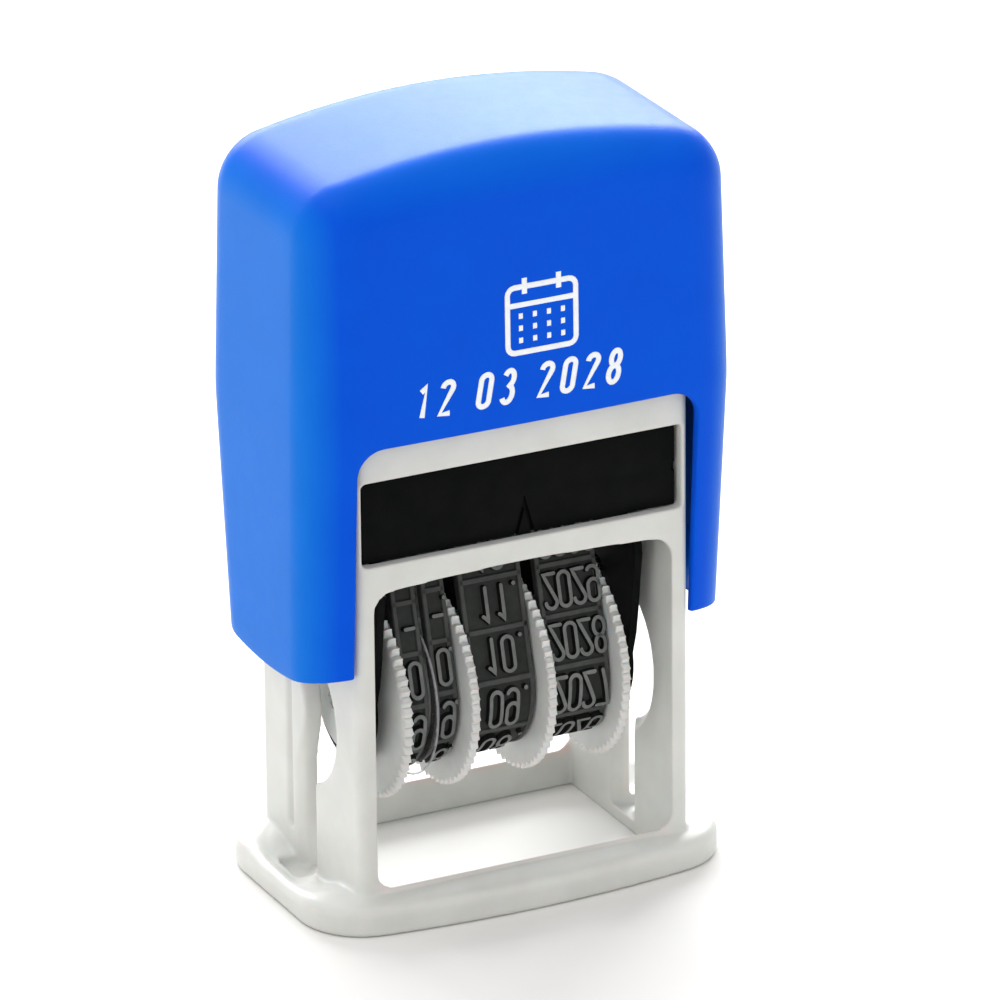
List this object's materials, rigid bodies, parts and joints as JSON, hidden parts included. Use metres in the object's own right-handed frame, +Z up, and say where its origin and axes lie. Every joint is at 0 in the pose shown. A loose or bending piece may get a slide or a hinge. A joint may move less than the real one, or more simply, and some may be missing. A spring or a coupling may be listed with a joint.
{
  "type": "self inking date stamp",
  "caption": "Compact self inking date stamp: press-down cap on a frame, flipping print unit with rubber date bands, serrated setting wheels, and a slide-out ink pad.",
  "frame": {"origin": "centre of the base's underside", "axes": "+Z up along the press direction, -Y towards the user (front), +X to the user's right"},
  "size_m": [0.0434, 0.0274, 0.073],
  "materials": {
    "frame_plastic": "light grey moulded, satin",
    "cap_plastic": "bright blue moulded, fine satin texture",
    "cartridge_plastic": "black moulded",
    "carrier_plastic": "black moulded",
    "wheel_plastic": "light grey moulded",
    "band_rubber": "dark grey rubber with raised type",
    "felt": "ink-soaked felt",
    "steel": "bright wire and pins",
    "clear_film": "clear thin plastic disc"
  },
  "bodies": {
    "frame": {"frame": "frame_plastic", "return_spring": "steel"},
    "cap": {"cap_shell": "cap_plastic"},
    "pad_drawer": {"ink_pad_cartridge": "cartridge_plastic", "ink_pad": "felt"},
    "print_unit": {"carrier_left_plate": "carrier_plastic", "carrier_right_plate": "carrier_plastic", "type_bridge": "carrier_plastic", "carrier_tie_bar": "steel", "wheel_axle": "steel", "axle_clip_left": "wheel_plastic", "axle_clip_right": "wheel_plastic", "trunnion_left": "steel", "trunnion_right": "steel", "band_divider": "clear_film", "date_band_day_tens": "band_rubber", "date_band_day_units": "band_rubber", "date_band_month": "band_rubber", "date_band_year": "band_rubber"},
    "wheel_day_tens": {"setting_wheel_day_tens": "wheel_plastic"},
    "wheel_day_units": {"setting_wheel_day_units": "wheel_plastic"},
    "wheel_month": {"setting_wheel_month": "wheel_plastic"},
    "wheel_year": {"setting_wheel_year": "wheel_plastic"}
  },
  "joints": [
    {"name": "cap_press", "type": "slide", "parent": "frame", "child": "cap", "axis": [0, 0, -1], "range_m": [0, 0.018], "stiffness_N_per_m": 250, "springref_m": -0.006, "deforming": ["return_spring"]},
    {"name": "print_flip", "type": "hinge", "parent": "cap", "child": "print_unit", "pos_m": [0, 0, 0.0265], "axis": [1, 0, 0], "range_deg": [0, 180]},
    {"name": "day_tens_turn", "type": "hinge", "parent": "print_unit", "child": "wheel_day_tens", "pos_m": [-0.01129, 0, 0.01846], "axis": [1, 0, 0], "continuous": true},
    {"name": "day_units_turn", "type": "hinge", "parent": "print_unit", "child": "wheel_day_units", "pos_m": [-0.00439, 0, 0.01846], "axis": [1, 0, 0], "continuous": true},
    {"name": "month_turn", "type": "hinge", "parent": "print_unit", "child": "wheel_month", "pos_m": [0.0034, 0, 0.01846], "axis": [1, 0, 0], "continuous": true},
    {"name": "year_turn", "type": "hinge", "parent": "print_unit", "child": "wheel_year", "pos_m": [0.01091, 0, 0.01846], "axis": [1, 0, 0], "continuous": true},
    {"name": "pad_slide", "type": "slide", "parent": "frame", "child": "pad_drawer", "axis": [0, 1, 0], "range_m": [-0.024, 0]}
  ],
  "couplings": [
    {"joint": "print_flip", "follows": "cap_press", "rad_per_m": 174.53}
  ]
}
